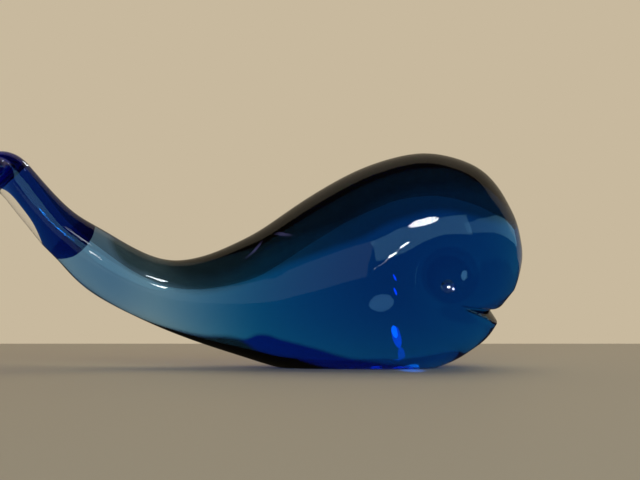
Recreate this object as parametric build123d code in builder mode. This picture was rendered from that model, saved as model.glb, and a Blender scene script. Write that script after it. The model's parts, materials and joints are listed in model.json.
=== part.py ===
from build123d import *
import math
import os

os.makedirs("parts", exist_ok=True)

# A whale ornament of solid cased glass, resting on a flat ground under its belly.
# +X is the nose, +Y the whale's left side, +Z up. Millimetres and degrees.

# Driving dimensions
overall_length = 193.0
head_height = 74.0
head_width = 54.0
tail_height = 66.2
stem_thickness = 13.6
stem_width = 13.0

# Clear glass over the blue glass of the body
cover_top = 3.0
cover_side = 2.5
cover_belly = 1.0
cover_nose = 4.0

# Clear glass over the cobalt rod of the tail, which lies nearer the stem's upper side
rod_cover_top = 1.1
rod_cover_side = 1.2
rod_cover_bottom = 4.1

# The two lobes of the tail. A thin seam of clear glass parts their cobalt from the rod's.
fluke_span = 46.0
fluke_chord = 17.0
fluke_thickness = 10.0
fluke_cover = 1.2
fluke_seam = 0.3

# The pressed dish around each eye, and the bead in it
dish_ball_radius = 45.0
dish_depth = 2.3
bead_radius = 2.4
bead_sink = 2.8
dish_cover = 3.4

# The mouth, pressed into the front of the head. Its upper wall curves up into the snout.
mouth_round_radius = 29.0
mouth_lower_angle = -43.0
mouth_upper_angle = 6.0
mouth_snout_angle = 60.0
mouth_lip_radius = 5.0
mouth_droop_angle = 9.0

overrun = 30.0

# Sections of the head and body, from the nose back. Back from the nose is a share of the
# overall length, middle and half heights are shares of the head's height, half widths are
# shares of the head's width, and the lean of each section is in degrees.
body_shares = (
    (0.003, 0.520, 0.062, 0.080, 0),
    (0.007, 0.523, 0.109, 0.137, 0),
    (0.014, 0.525, 0.165, 0.204, 0),
    (0.025, 0.525, 0.224, 0.267, 0),
    (0.039, 0.522, 0.290, 0.331, 0),
    (0.060, 0.512, 0.367, 0.400, 0),
    (0.088, 0.512, 0.423, 0.452, -1),
    (0.124, 0.509, 0.466, 0.489, -4),
    (0.163, 0.496, 0.490, 0.500, -7),
    (0.207, 0.469, 0.492, 0.496, -10),
    (0.254, 0.438, 0.476, 0.478, -12),
    (0.302, 0.401, 0.446, 0.448, -14),
    (0.351, 0.362, 0.408, 0.413, -15),
    (0.400, 0.328, 0.363, 0.374, -14),
    (0.447, 0.309, 0.317, 0.333, -10),
    (0.494, 0.308, 0.267, 0.294, -5),
    (0.540, 0.311, 0.222, 0.261, 1),
    (0.582, 0.320, 0.187, 0.233, 8),
)

# Sections of the neck and tail. Middle heights are shares of the tail's height, half heights
# shares of the stem's thickness and half widths shares of the stem's width.
tail_shares = (
    (0.624, 0.378, 0.866, 0.869, 15),
    (0.663, 0.414, 0.785, 0.808, 22),
    (0.698, 0.460, 0.760, 0.769, 28),
    (0.732, 0.517, 0.745, 0.738, 34),
    (0.762, 0.581, 0.699, 0.700, 39),
    (0.790, 0.648, 0.621, 0.646, 44),
    (0.817, 0.712, 0.568, 0.600, 47),
    (0.842, 0.788, 0.526, 0.558, 49),
    (0.866, 0.868, 0.508, 0.538, 49),
    (0.888, 0.944, 0.500, 0.538, 47),
    (0.908, 1.000, 0.512, 0.554, 40),
    (0.926, 1.024, 0.463, 0.538, 22),
    (0.943, 1.030, 0.338, 0.423, 6),
)
# The cobalt rod runs from its bulb at one of these rows to its end at another, counted from 0.
bulb_row = 5
rod_end_row = 10

# Sections of a lobe: back from the nose and out from the middle as shares of the overall length
# and the half span, middle height as a share of the tail's height, half chord and half
# thickness as shares of the lobe's chord and thickness, and the sweep of each section.
fluke_shares = (
    (0.915, 0.00, 1.005, 0.36, 0.56, 60),
    (0.930, 0.22, 1.022, 0.45, 0.52, 62),
    (0.944, 0.44, 1.018, 0.48, 0.45, 60),
    (0.962, 0.66, 0.996, 0.42, 0.36, 55),
    (0.976, 0.80, 0.968, 0.30, 0.26, 48),
    (0.986, 0.88, 0.948, 0.18, 0.16, 40),
)
fluke_tip_shares = (1.000, 0.93, 0.935)

# Where the dish, the bead and the inner end of the mouth lie on the head: back from the nose as a
# share of the overall length, and up from the ground as a share of the head's height.
dish_place_shares = (0.1370, 0.431)
bead_place_shares = (0.1400, 0.378)
mouth_place_shares = (0.0552, 0.2635)

# The covers of the core grow to their full size over this share of the length behind the nose.
nose_blend_share = 0.124

# A section is a smooth closed curve through this many points. A round end has a section at each
# of these angles of its quarter turn, and a point at the last.
section_points = 12
cap_angles = (25, 50, 70, 83)

nose_x = overall_length / 2


def leaning_plane(x, z, lean):
    """Plane square to the whale's middle line: its own x is +Y and its own y is up."""
    turn = math.radians(lean)
    return Plane(origin=(x, 0, z), x_dir=(0, 1, 0), z_dir=(math.cos(turn), 0, -math.sin(turn)))


def head_place(shares):
    """A place on the head, back from the nose and up from the ground."""
    back, up = shares
    return nose_x - back * overall_length, up * head_height


def section_rows():
    """Every section from the nose to the fork: its plane, half width and half height."""
    rows = []
    for back, middle, half_height, half_width, lean in body_shares:
        plane = leaning_plane(nose_x - back * overall_length, middle * head_height, lean)
        rows.append((plane, half_width * head_width, half_height * head_height))
    for back, middle, half_height, half_width, lean in tail_shares:
        plane = leaning_plane(nose_x - back * overall_length, middle * tail_height, lean)
        rows.append((plane, half_width * stem_width, half_height * stem_thickness))
    return rows


def draw_section(plane, half_width, half_height):
    """One closed smooth section of the glass, as a sketch on its plane."""
    turns = [2 * math.pi * count / section_points for count in range(section_points)]
    with BuildSketch(plane) as section:
        with BuildLine():
            Spline(
                [(half_width * math.cos(turn), half_height * math.sin(turn)) for turn in turns],
                periodic=True,
            )
        make_face()
    return section.sketch


def rounded_cap(plane, half_width, half_height, way):
    """Sections that close a form with a round end, and the point of that end."""
    reach = way * min(half_width, half_height)
    sections = []
    for angle in cap_angles:
        turn = math.radians(angle)
        along = plane.offset(reach * math.sin(turn))
        sections.append(draw_section(along, half_width * math.cos(turn), half_height * math.cos(turn)))
    tip = plane.offset(reach).origin
    sections.append(Vertex(tip.X, tip.Y, tip.Z))
    return sections


def covered_row(row, top, side, bottom):
    """A section drawn in from the outside by the clear glass over it."""
    plane, half_width, half_height = row
    middle = plane.origin + plane.y_dir * (bottom - top) / 2
    inner = Plane(origin=middle, x_dir=plane.x_dir, z_dir=plane.z_dir)
    return inner, half_width - side, half_height - (top + bottom) / 2


def body_core_rows():
    """Sections of the blue glass in the body: full at the nose's own cover, thin at the belly."""
    covered = []
    for row in body_rows:
        plane = row[0]
        grown = min(1, (nose_x - plane.origin.X) / (nose_blend_share * overall_length))
        plane, half_width, half_height = covered_row(
            row, grown * cover_top, grown * cover_side, grown * cover_belly
        )
        moved = plane.origin - Vector((1 - grown) * cover_nose, 0, 0)
        covered.append((Plane(origin=moved, x_dir=plane.x_dir, z_dir=plane.z_dir), half_width, half_height))
    return covered


def mouth_groove(cover):
    """The groove of the mouth, grown by the clear glass that lines it."""
    droop = math.radians(mouth_droop_angle)
    forward = Vector(math.cos(droop), 0, -math.sin(droop))
    upward = Vector(math.sin(droop), 0, math.cos(droop))
    mouth_x, mouth_z = head_place(mouth_place_shares)
    middle = Vector(mouth_x, 0, mouth_z) - forward * mouth_round_radius
    inner_end = (mouth_round_radius, 0)
    with BuildPart() as groove:
        with BuildSketch(Plane(origin=middle, x_dir=forward, z_dir=(0, -1, 0))):
            with BuildLine():
                way_in = Vector(1, 0).rotate(Axis.Z, mouth_upper_angle)
                lip = JernArc(inner_end, way_in, mouth_lip_radius, mouth_snout_angle - mouth_upper_angle)
                snout = PolarLine(lip @ 1, overrun, mouth_snout_angle)
                chin = PolarLine(inner_end, overrun, mouth_lower_angle)
                Line(snout @ 1, chin @ 1)
            make_face()
            if cover:
                offset(amount=cover)
        revolve(axis=Axis(middle, upward))
        split(bisect_by=Plane(origin=middle, z_dir=forward), keep=Keep.TOP)
    return groove.part


def tail_rod(growth):
    """The cobalt rod of the tail, round at both ends, grown into the clear glass around it."""
    rod_rows = [
        covered_row(row, rod_cover_top - growth, rod_cover_side - growth, rod_cover_bottom - growth)
        for row in stem_rows[bulb_row:rod_end_row + 1]
    ]
    front = rounded_cap(*rod_rows[0], 1)[::-1]
    with BuildPart() as rod:
        loft(front + [draw_section(*row) for row in rod_rows] + rounded_cap(*rod_rows[-1], -1))
    return rod.part


def left_lobe(cover):
    """The left lobe of the tail, drawn in by its clear cover."""
    sections = []
    for back, out, middle, half_chord, half_thickness, sweep in fluke_shares:
        turn = math.radians(sweep)
        plane = Plane(
            origin=(nose_x - back * overall_length, out * fluke_span / 2, middle * tail_height),
            x_dir=(math.sin(turn), math.cos(turn), 0),
            z_dir=(-math.cos(turn), math.sin(turn), 0),
        )
        sections.append(
            draw_section(plane, half_chord * fluke_chord - cover, half_thickness * fluke_thickness - cover)
        )
    back, out, middle = fluke_tip_shares
    tip_x = nose_x - back * overall_length + cover
    sections.append(Vertex(tip_x, out * fluke_span / 2 - cover, middle * tail_height))
    with BuildPart() as form:
        loft(sections)
    return form.part


# The body's glass ends and the tail's begins at the bulb. The body's core is drawn one row past
# that joint and cut back to it.
rows = section_rows()
stem_rows = rows[len(body_shares):]
joint_plane = stem_rows[bulb_row][0]
body_rows = rows[:len(body_shares) + bulb_row + 2]

# The outer form of the whole whale, from the nose to the fork of the tail.
with BuildPart() as outer_form:
    nose = Vertex(nose_x, 0, body_shares[0][1] * head_height)
    loft([nose] + [draw_section(*row) for row in rows] + rounded_cap(*rows[-1], -1))
    split(bisect_by=Plane.XY, keep=Keep.TOP)

# The dish is pressed square into the side of the head by a ball. The bead sits on its floor.
dish_x, dish_z = head_place(dish_place_shares)
bead_x, bead_z = head_place(bead_place_shares)
dish_line = Axis((dish_x, 0, dish_z), (0, 1, 0))
touch, outward = outer_form.part.shell().find_intersection_points(dish_line)[-1]
ball_middle = touch + outward * (dish_ball_radius - dish_depth)
bead_floor = ball_middle.Y - math.sqrt(
    dish_ball_radius**2 - (bead_x - ball_middle.X) ** 2 - (bead_z - ball_middle.Z) ** 2
)
bead_y = bead_floor + bead_radius - bead_sink
ball_places = [(ball_middle.X, side * ball_middle.Y, ball_middle.Z) for side in (1, -1)]
bead_places = [(bead_x, side * bead_y, bead_z) for side in (1, -1)]

# The cobalt rod of the tail, with its bulb sunk in the end of the body.
with BuildPart() as tail_core:
    add(tail_rod(0))

# The steel-blue glass of the head, body and neck.
with BuildPart() as body_core:
    core_rows = body_core_rows()
    nose = Vertex(nose_x - cover_nose, 0, body_shares[0][1] * head_height)
    loft([nose] + [draw_section(*row) for row in core_rows])
    split(bisect_by=Plane.XY.offset(cover_belly), keep=Keep.TOP)
    split(bisect_by=joint_plane, keep=Keep.TOP)
    add(mouth_groove(cover_side), mode=Mode.SUBTRACT)
    with Locations(ball_places):
        Sphere(dish_ball_radius + dish_cover, mode=Mode.SUBTRACT)
    add(tail_core.part, mode=Mode.SUBTRACT)

# The clear gather over the body.
with BuildPart() as body_casing:
    add(outer_form.part)
    split(bisect_by=joint_plane, keep=Keep.TOP)
    add(mouth_groove(0), mode=Mode.SUBTRACT)
    with Locations(ball_places):
        Sphere(dish_ball_radius, mode=Mode.SUBTRACT)
    with Locations(bead_places):
        Sphere(bead_radius, mode=Mode.SUBTRACT)
    add(body_core.part, mode=Mode.SUBTRACT)
    add(tail_core.part, mode=Mode.SUBTRACT)

# The clear beads of the eyes.
with BuildPart() as left_eye:
    with Locations(bead_places[0]):
        Sphere(bead_radius)

with BuildPart() as right_eye:
    with Locations(bead_places[1]):
        Sphere(bead_radius)

# The cobalt lobes, cut apart at the middle and cut back to the rod.
with BuildPart() as left_fluke:
    add(left_lobe(fluke_cover))
    split(bisect_by=Plane.XZ.offset(-fluke_seam / 2), keep=Keep.BOTTOM)
    add(tail_rod(fluke_seam), mode=Mode.SUBTRACT)

with BuildPart() as right_fluke:
    mirror(left_fluke.part, about=Plane.XZ)

# The clear glass over the stem and the lobes.
with BuildPart() as tail_casing:
    add(outer_form.part)
    split(bisect_by=joint_plane, keep=Keep.BOTTOM)
    outer_lobe = left_lobe(0)
    add(outer_lobe)
    mirror(outer_lobe, about=Plane.XZ)
    for cobalt in (tail_core, left_fluke, right_fluke):
        add(cobalt.part, mode=Mode.SUBTRACT)

pieces = {
    "body_core": body_core,
    "body_casing": body_casing,
    "tail_core": tail_core,
    "tail_casing": tail_casing,
    "left_fluke": left_fluke,
    "right_fluke": right_fluke,
    "left_eye": left_eye,
    "right_eye": right_eye,
}
for name, piece in pieces.items():
    piece.part.label = name
    export_step(piece.part, f"parts/{name}.step")
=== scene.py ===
import json
import math

import bmesh
import bpy
from mathutils import Euler, Matrix, Quaternion, Vector

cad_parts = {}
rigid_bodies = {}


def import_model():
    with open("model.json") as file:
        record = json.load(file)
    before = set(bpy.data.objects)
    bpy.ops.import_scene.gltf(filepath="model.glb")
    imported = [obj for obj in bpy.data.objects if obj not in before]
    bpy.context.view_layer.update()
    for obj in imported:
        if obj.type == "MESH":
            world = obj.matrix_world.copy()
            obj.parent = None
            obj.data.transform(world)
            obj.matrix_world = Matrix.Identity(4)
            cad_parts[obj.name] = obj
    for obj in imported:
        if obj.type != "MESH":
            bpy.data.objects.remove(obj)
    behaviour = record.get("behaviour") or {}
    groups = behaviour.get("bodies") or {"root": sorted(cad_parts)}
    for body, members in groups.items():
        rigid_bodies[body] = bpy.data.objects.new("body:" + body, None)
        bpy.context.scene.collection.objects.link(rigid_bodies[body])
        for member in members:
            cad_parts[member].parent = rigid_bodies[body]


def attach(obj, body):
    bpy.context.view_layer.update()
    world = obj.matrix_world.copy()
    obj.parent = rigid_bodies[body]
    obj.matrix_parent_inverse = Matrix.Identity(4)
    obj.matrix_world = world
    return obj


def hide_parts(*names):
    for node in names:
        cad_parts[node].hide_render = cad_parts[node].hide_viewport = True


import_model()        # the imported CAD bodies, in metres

bl_info = {
    "name": "Glass Whale",
    "version": (1, 0, 0),
    "blender": (4, 5, 0),
    "location": "View3D > Sidebar > Glass Whale",
    "description": "Dresses the CAD frame of a cased glass whale: gather, core, tail and eyes",
    "category": "Object",
}

MILLIMETRE = 0.001
MILLIWATT = 0.001

# Sections of the head and body, from the nose back. Back from the nose is a share of the overall
# length, middle and half heights are shares of the head's height, half widths are shares of the
# head's width, and the lean of each section is in degrees.
BODY_SHARES = (
    (0.003, 0.520, 0.062, 0.080, 0),
    (0.007, 0.523, 0.109, 0.137, 0),
    (0.014, 0.525, 0.165, 0.204, 0),
    (0.025, 0.525, 0.224, 0.267, 0),
    (0.039, 0.522, 0.290, 0.331, 0),
    (0.060, 0.512, 0.367, 0.400, 0),
    (0.088, 0.512, 0.423, 0.452, -1),
    (0.124, 0.509, 0.466, 0.489, -4),
    (0.163, 0.496, 0.490, 0.500, -7),
    (0.207, 0.469, 0.492, 0.496, -10),
    (0.254, 0.438, 0.476, 0.478, -12),
    (0.302, 0.401, 0.446, 0.448, -14),
    (0.351, 0.362, 0.408, 0.413, -15),
    (0.400, 0.328, 0.363, 0.374, -14),
    (0.447, 0.309, 0.317, 0.333, -10),
    (0.494, 0.308, 0.267, 0.294, -5),
    (0.540, 0.311, 0.222, 0.261, 1),
    (0.582, 0.320, 0.187, 0.233, 8),
)
# Sections of the neck and tail, in the same order, as shares of the overall length, the tail's
# height and the stem's thickness and width.
TAIL_SHARES = (
    (0.624, 0.378, 0.866, 0.869, 15),
    (0.663, 0.414, 0.785, 0.808, 22),
    (0.698, 0.460, 0.760, 0.769, 28),
    (0.732, 0.517, 0.745, 0.738, 34),
    (0.762, 0.581, 0.699, 0.700, 39),
    (0.790, 0.648, 0.621, 0.646, 44),
    (0.817, 0.712, 0.568, 0.600, 47),
    (0.842, 0.788, 0.526, 0.558, 49),
    (0.866, 0.868, 0.508, 0.538, 49),
    (0.888, 0.944, 0.500, 0.538, 47),
    (0.908, 1.000, 0.512, 0.554, 40),
    (0.926, 1.024, 0.463, 0.538, 22),
    (0.943, 1.030, 0.338, 0.423, 6),
)
# The body's core ends at this row of the tail, and the cobalt bulb begins there. The core's end
# runs on into the bulb, drawn in a little, and the bulb's front lies back.
BULB_ROW = 5
CORE_END_LENGTH = 3 * MILLIMETRE
CORE_END_SCALE = 0.93
BULB_SETBACK = 2 * MILLIMETRE
# The glass under the rod grows to its full thickness over this many rows behind the bulb's front.
BULB_COVER_ROWS = 3
# A lobe grows out of the stem's side over this many of its last rows. A corner lies on that side
# where its height is under this share of its width.
LOBE_ROWS = 3
STEM_SIDE_SLOPE = 0.6
# Sections of a lobe: back from the nose and out from the middle as shares of the overall length
# and the half span, middle height as a share of the tail's height, half chord and half thickness
# as shares of the lobe's chord and thickness, and the sweep in degrees.
LOBE_SHARES = (
    (0.936, 0.34, 1.021, 0.47, 0.49, 61),
    (0.944, 0.44, 1.018, 0.48, 0.45, 60),
    (0.962, 0.66, 0.996, 0.42, 0.36, 55),
    (0.976, 0.80, 0.968, 0.30, 0.26, 48),
    (0.986, 0.88, 0.948, 0.18, 0.16, 40),
)
LOBE_TIP_SHARES = (1.000, 0.93, 0.935)
# The core's covers grow to their full size over this share of the length behind the nose.
NOSE_BLEND_SHARE = 0.124

# How gently a dish's rim turns into the side of the head, and over how many times that length.
DISH_SOFTNESS = 1.2 * MILLIMETRE
DISH_REACH = 6

# The wedge of the mouth: the round at its inner end, how far its walls run out past the lips, the
# steps of its rounds, and how far and in how many steps it is spun about the head.
MOUTH_ROUND = 0.3 * MILLIMETRE
MOUTH_WALL_LENGTH = 30 * MILLIMETRE
MOUTH_ROUND_STEPS = 8
MOUTH_SPIN = 160
MOUTH_SPIN_STEPS = 64
# An edge is part of a lip where it is sharper than this angle, within this height of the mouth's
# inner end, and no further back than this many depths of the mouth. Lips are smoothed so often.
LIP_ANGLE = 28
LIP_HEIGHT = 13 * MILLIMETRE
LIP_LENGTH_SHARE = 3
LIP_SMOOTHING = 12

# The air between a bead and its dish, and the round of the bead's rim.
BEAD_GAP = 0.1 * MILLIMETRE
BEAD_RIM = 0.18 * MILLIMETRE

# Where the painted shade along the back begins, seen from the side: shares of the overall length
# back from the nose, and of the head's height up from the ground.
BAND_EDGE_SHARES = (
    (0.000, 0.600),
    (0.027, 0.634),
    (0.084, 0.669),
    (0.153, 0.700),
    (0.210, 0.672),
    (0.249, 0.632),
    (0.277, 0.592),
    (0.339, 0.534),
    (0.400, 0.475),
    (0.460, 0.410),
    (0.510, 0.365),
    (0.560, 0.345),
    (0.618, 0.368),
    (0.651, 0.405),
    (0.687, 0.443),
    (0.705, 0.480),
    (0.722, 0.535),
    (0.740, 0.616),
    (0.760, 0.900),
)
# Where the ultramarine painted shade over the ground begins, and the black painted shade under
# that, measured the same way.
WEDGE_EDGE_SHARES = (
    (0.000, 0.000),
    (0.150, 0.010),
    (0.215, 0.030),
    (0.260, 0.044),
    (0.310, 0.066),
    (0.362, 0.106),
    (0.422, 0.146),
    (0.457, 0.168),
    (0.488, 0.146),
    (0.520, 0.150),
    (0.563, 0.158),
    (0.620, 0.190),
    (0.680, 0.220),
    (1.000, 0.220),
)
BLACK_EDGE_SHARES = (
    (0.000, 0.000),
    (0.362, 0.012),
    (0.422, 0.042),
    (0.450, 0.068),
    (0.481, 0.122),
    (0.500, 0.150),
    (0.563, 0.162),
    (0.620, 0.190),
    (0.680, 0.220),
    (1.000, 0.220),
)

# Corners of the rings, the angles of the rings that round off an end, how finely the cages are
# smoothed, and how often the rows are fitted to that.
BODY_CORNERS = 24
LOBE_CORNERS = 12
CAP_ANGLES = (32, 60)
SMOOTH_LEVELS = 3
FITTING_ROUNDS = 12
# Edges sharper than this keep a crisp shading.
CRISP_ANGLE = 30
# Corners this near to the plane of a cut count as on it.
CUT_SLACK = 1e-6

# Where the core's tints change along the whale, as shares of the overall length back from the nose.
NECK_BLEND = (0.44, 0.66)
BULB_END_BLEND = (0.63, 0.73)
BULB_BLEND = (0.76, 0.80)
LOBE_BLEND = (0.88, 0.95)
# How softly the painted shade of the back, the ultramarine and the black painted shade begin, as
# shares of the head's height.
BAND_BLEND = (-0.02, 0.03)
WEDGE_BLEND = (-0.012, 0.012)
BLACK_BLEND = (-0.016, 0.016)
# How far from the dish's middle its painted shade begins and is full, and how much of it there is.
DISH_BLEND = (9.9 * MILLIMETRE, 9.0 * MILLIMETRE)
DISH_AMOUNT = 0.9
# The painted shade in the crease along the mouth's lower wall: how near to the wall it is dark, how
# near to the mouth's inner end, and how far before the line that the mouth is spun about.
CREASE_BLEND = (0.9 * MILLIMETRE, 0.4 * MILLIMETRE)
CREASE_DEPTH = (-0.5 * MILLIMETRE, 0.1 * MILLIMETRE)
CREASE_FRONT = (0, 4 * MILLIMETRE)
CREASE_PAINTED_SHADE = (0.002, 0.004, 0.02)
# Black painted shade under the heel's ultramarine.
BLACK_PAINTED_SHADE = (0.01, 0.01, 0.01)
# What each glass lets through of the light that falls on the table.
CLEAR_SHADOW = (0.96, 0.97, 0.98)
STEEL_BLUE_SHADOW = (0.25, 0.5, 0.85)
COBALT_SHADOW = (0.05, 0.12, 0.8)
# How much the clear skin bends light, and the coloured bodies in it, which don't bend it again.
BENDING_GLASS = 1.5
STRAIGHT_GLASS = 1.0
# How deep the grain of the table top is.
GRAIN_DEPTH = 0.97

# A colour's sockets on a Mix node: the amount and both colours, and what comes out.
COLOUR_MIX_INPUTS = (0, 6, 7)
COLOUR_MIX_RESULT = 2

# The middle of the head's right side, and the tints that several lamps share.
HEAD_PLACE = Vector((0.055, -0.026, 0.043))
WHITE = (1.0, 1.0, 1.0)
WARM_WHITE = (1.0, 0.97, 0.92)
DAYLIGHT = (0.95, 1.0, 1.0)
GLINT_BLUE = (0.0, 0.22, 1.0)

# Lamps that look at a point on the skin. Each row has that point in metres, then the lamp's
# azimuth, elevation, distance, width, height, roll, spread, power and tint. Azimuth 0 is in front
# of the whale's right side and 90 before the nose.
# The windows and the wall are mirrored in the skin and light the table. Their power is in watts.
WINDOWS = {
    "window": (HEAD_PLACE, 10, 22.8, 1.2, 1.37, 0.46, 14, 180, 2.4, (0.30, 0.76, 1.0)),
    "window_edge": (HEAD_PLACE, 85, 21.5, 1.2, 2.4, 0.27, -12, 180, 1.9, (0.28, 0.74, 1.0)),
    "left_window": (HEAD_PLACE, -28, 7, 1.2, 0.34, 0.60, 10, 180, 0.22, (0.6, 0.85, 1.0)),
    "wall_glow": (HEAD_PLACE, 180, 30, 1.0, 3.0, 1.4, 0, 180, 3.6, (1.0, 0.84, 0.59)),
}
# These only light the table, also in watts.
FILL_LAMPS = {
    "overhead": (HEAD_PLACE, 160, 75, 1.0, 0.9, 0.9, 0, 180, 4.0, WARM_WHITE),
    "front_fill": (HEAD_PLACE, 10, 35, 1.3, 1.2, 0.6, 0, 180, 2.6, WARM_WHITE),
}
# Small oval lamps near the glass are only mirrored in it. Their power is in milliwatts.
NEAR_LAMPS = {
    "brow_pane": ((0.062, -0.025, 0.049), -1, 31, 0.20, 0.060, 0.023, 20, 50, 5.8, DAYLIGHT),
    "upper_slit": (HEAD_PLACE, -7.2, 13.4, 0.15, 0.0150, 0.0050, 45, 60, 0.60, DAYLIGHT),
    "lower_slit": (HEAD_PLACE, -12.2, 6.0, 0.15, 0.0140, 0.0046, 45, 60, 0.50, DAYLIGHT),
    "long_slit": (HEAD_PLACE, -13.5, 4.0, 0.15, 0.050, 0.0014, 58, 60, 0.10, (0.8, 0.9, 1.0)),
    "neck_pane": ((-0.026, -0.010, 0.030), -7, 43.8, 0.15, 0.026, 0.016, 19, 30, 0.70, DAYLIGHT),
    "neck_slit": ((-0.0254, -0.0108, 0.0276), -13, 23, 0.15, 0.015, 0.012, 44, 30, 0.30, DAYLIGHT),
    "soft_spot": (
        (0.0485, -0.0245, 0.023), -11, -28, 0.03, 0.012, 0.013, 0, 60, 0.072, (0.2, 0.6, 1.0)),
    "dish_ghost": (
        (0.0743, -0.0237, 0.0317), 7.4, -11, 0.06, 0.0009, 0.0065, 0, 60, 0.0046,
        (0.21, 0.62, 1.0)),
    "back_streak": (
        (0.0085, -0.0116, 0.0415), -92, 54, 0.14, 0.100, 0.0022, 0, 30, 0.020, (0.45, 0.4, 1.0)),
    "stem_pane": ((-0.078, -0.011, 0.0697), 155, 30, 0.12, 0.012, 0.012, 0, 16, 0.060, DAYLIGHT),
    "bead_light": (
        (0.0697, -0.0259, 0.0278), 11.6, -7, 0.002, 0.0014, 0.0014, 0, 80, 0.14, WHITE),
    "bead_side": ((0.0710, -0.0252, 0.0275), 91, -20, 0.002, 0.0009, 0.0009, 0, 60, 0.15, WHITE),
    "stem_blue": (
        (-0.0635, -0.0074, 0.0505), -7.5, 13.5, 0.15, 0.012, 0.004, 38, 16, 0.030, GLINT_BLUE),
    "stem_line": (
        (-0.0745, -0.0058, 0.0678), 102, 47, 0.12, 0.020, 0.004, 0, 16, 0.004, (0.6, 0.7, 1.0)),
}
# Small oval lamps behind and above the glass are only seen through it: place in metres, the azimuth
# and elevation of their backs, width, height, roll, power in milliwatts and tint.
GLINTS = {
    "flank_streak": ((0.0546, 0.0244, 0.0187), 180, -20, 0.0026, 0.0042, -20, 0.038, GLINT_BLUE),
    "streak_core": (
        (0.0541, 0.0247, 0.0196), 180, -20, 0.0016, 0.0026, -20, 0.028, (0.0, 0.60, 1.0)),
    "low_streak": ((0.0557, 0.0233, 0.0158), 180, -20, 0.0022, 0.0024, -10, 0.010, GLINT_BLUE),
    "upper_glint": ((0.0549, 0.0270, 0.0316), 180, 0, 0.0005, 0.0016, -25, 0.008, GLINT_BLUE),
    "lower_glint": ((0.0549, 0.0270, 0.0284), 180, 0, 0.0005, 0.0018, -25, 0.009, GLINT_BLUE),
    "ground_glint": ((0.0564, 0.0016, 0.0768), 0, 55, 0.0024, 0.0030, 0, 1.3, (0.0, 1.0, 0.2)),
    "ground_glow": ((0.0450, -0.0030, 0.0772), 0, 55, 0.040, 0.018, 0, 26, (0.0, 1.0, 0.14)),
}
# A narrow spot lays the blue patch of light on the table before the belly, in metres and watts.
SPOT_PLACE = Vector((0.075, -0.135, 0.080))
SPOT_AIM = Vector((0.0585, -0.0125, 0))
SPOT_POWER = 2.2
SPOT_ANGLE = 4
SPOT_TINT = (0.0, 0.15, 1.0)
# How bright the room is to the table, and to what is mirrored in the glass.
ROOM_LIGHT = 0.3
MIRRORED_ROOM_LIGHT = 0.03

# The table top in metres, with its upper side just under the whale, and the camera, with its lens
# and sensor in millimetres.
TABLE_MIDDLE = (0, -0.40, -0.0152)
TABLE_SIZE = (2.0, 1.084, 0.03)
TABLE_EDGE = 0.002
CAMERA_PLACE = (0.0277, -0.600, 0.0433)
CAMERA_LENS = 99.2
CAMERA_SENSOR = 36


def deselect_all():
    """Leaves object mode with nothing selected."""
    if bpy.context.object and bpy.context.object.mode != "OBJECT":
        bpy.ops.object.mode_set(mode="OBJECT")
    bpy.ops.object.select_all(action="DESELECT")


def make_active(piece):
    """Selects one piece alone and makes it the active one."""
    deselect_all()
    piece.select_set(True)
    bpy.context.view_layer.objects.active = piece


def named(piece, name):
    """Gives a new piece and its mesh their name."""
    piece.name = name
    piece.data.name = name
    return piece


def from_nose(body, back=0):
    """The x of what lies this far back from the nose."""
    return body.overall_length / 2 - back


class Section:
    """One closed ring of a gather: its middle, how it is turned, and its two half sizes."""

    def __init__(self, middle, turned, half_width, half_height):
        self.middle = middle
        self.turned = turned
        self.half_width = half_width
        self.half_height = half_height

    def drawn_in(self, top, side, bottom):
        """The ring that lies under a cover of these thicknesses."""
        middle = self.middle + self.turned.col[1] * (bottom - top) / 2
        half_height = self.half_height - (top + bottom) / 2
        return Section(middle, self.turned, self.half_width - side, half_height)

    def moved(self, along, scale):
        """The ring moved along its own axis and scaled about its middle."""
        middle = self.middle + self.turned.col[2] * along
        return Section(middle, self.turned, self.half_width * scale, self.half_height * scale)

    def shares(self, point):
        """How far a point lies across and up in the ring, as shares of its half sizes."""
        away = point - self.middle
        across = away.dot(self.turned.col[0]) / self.half_width
        up = away.dot(self.turned.col[1]) / self.half_height
        return across, up


def square_to_middle_line(x, z, lean, half_width, half_height):
    """A ring square to the whale's middle line: its own x is +Y and its own y is up."""
    upright = Euler((math.pi / 2, 0, math.pi / 2)).to_matrix()
    turned = Matrix.Rotation(math.radians(lean), 3, "Y") @ upright
    return Section(Vector((x, 0, z)), turned, half_width, half_height)


def drawn_through(rows):
    """Moves the numbers of each row so that the smoothed form passes through the rows as given."""
    control = [list(row) for row in rows]
    for _ in range(FITTING_ROUNDS):
        smooth = [list(row) for row in control]
        for index in range(1, len(rows) - 1):
            for item in range(len(rows[0])):
                before, own, after = (control[index + step][item] for step in (-1, 0, 1))
                smooth[index][item] = (before + 4 * own + after) / 6
        for index, row in enumerate(rows):
            for item, value in enumerate(row):
                control[index][item] += value - smooth[index][item]
    return control


def whale_rows(body, tail):
    """Every row from the nose to the fork in metres: x, z, lean, half width, half height."""
    rows = []
    for shares, height, width, thickness in (
        (BODY_SHARES, body.head_height, body.head_width, body.head_height),
        (TAIL_SHARES, tail.tail_height, tail.stem_width, tail.stem_thickness),
    ):
        for back, middle, half_height, half_width, lean in shares:
            rows.append((
                from_nose(body, back * body.overall_length),
                middle * height,
                lean,
                half_width * width,
                half_height * thickness,
            ))
    return rows


def ring_shrink(corners):
    """How far a smoothed ring of this many corners draws in."""
    return (4 + 2 * math.cos(2 * math.pi / corners)) / 6


def edit_mesh():
    """The active piece's mesh as it is being edited."""
    shape = bmesh.from_edit_mesh(bpy.context.object.data)
    shape.verts.ensure_lookup_table()
    shape.edges.ensure_lookup_table()
    shape.faces.ensure_lookup_table()
    return shape


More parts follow.
